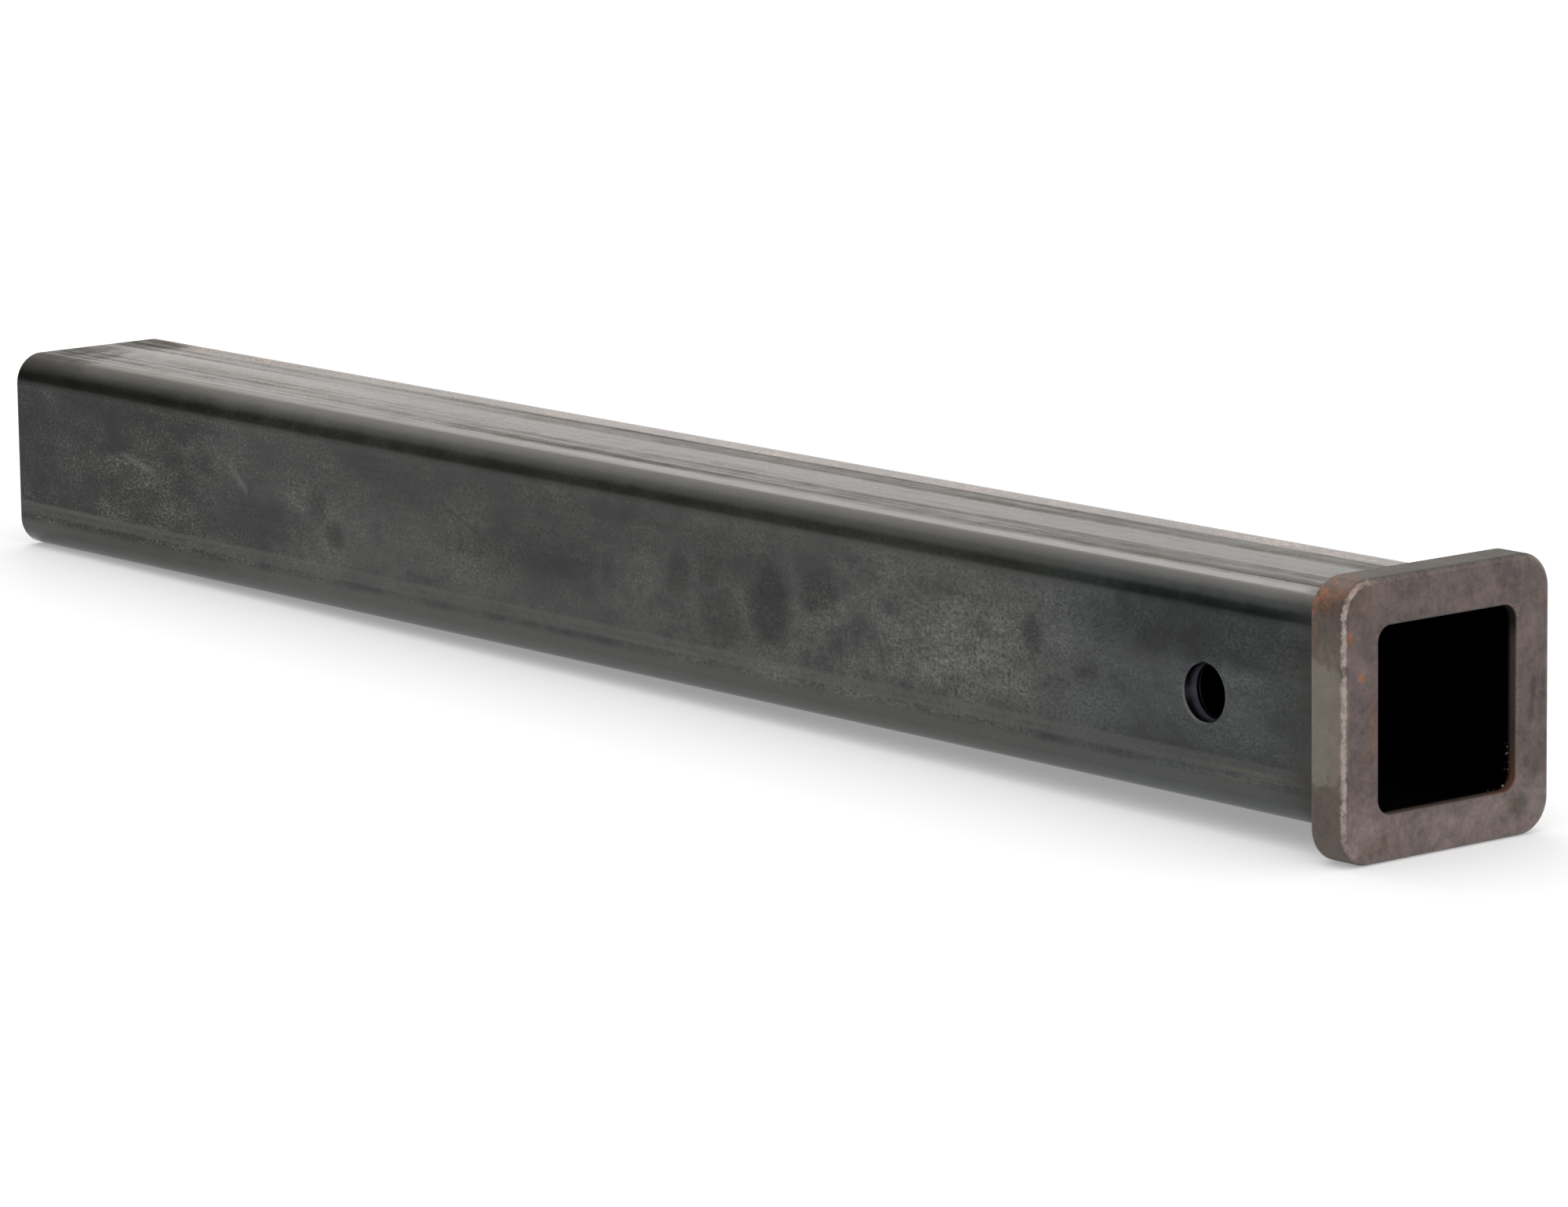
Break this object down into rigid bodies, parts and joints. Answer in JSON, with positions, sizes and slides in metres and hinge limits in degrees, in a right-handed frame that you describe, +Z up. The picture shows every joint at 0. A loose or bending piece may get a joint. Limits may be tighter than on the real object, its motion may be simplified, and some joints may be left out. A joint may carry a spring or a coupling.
{
  "type": "hitch receiver tube",
  "caption": "Square steel receiver tube with a forged collar welded round its mouth and a cross hole for a hitch pin near the mouth.",
  "frame": {"origin": "middle of the pin hole, on the tube's centre line", "axes": "+X along the tube, out of the mouth; +Y along the pin hole, across the tube; +Z up"},
  "size_m": [0.6397, 0.077, 0.077],
  "materials": {
    "tube_steel": "bare drawn tube with dark mill scale, oil marks and faint lengthwise streaks",
    "collar_steel": "bare forged steel, warm grey with specks of orange rust",
    "weld_steel": "rippled weld bead, dark grey with a slight heat tint"
  },
  "bodies": {
    "root": {"tube": "tube_steel", "collar": "collar_steel", "collar_weld": "weld_steel"}
  },
  "joints": []
}
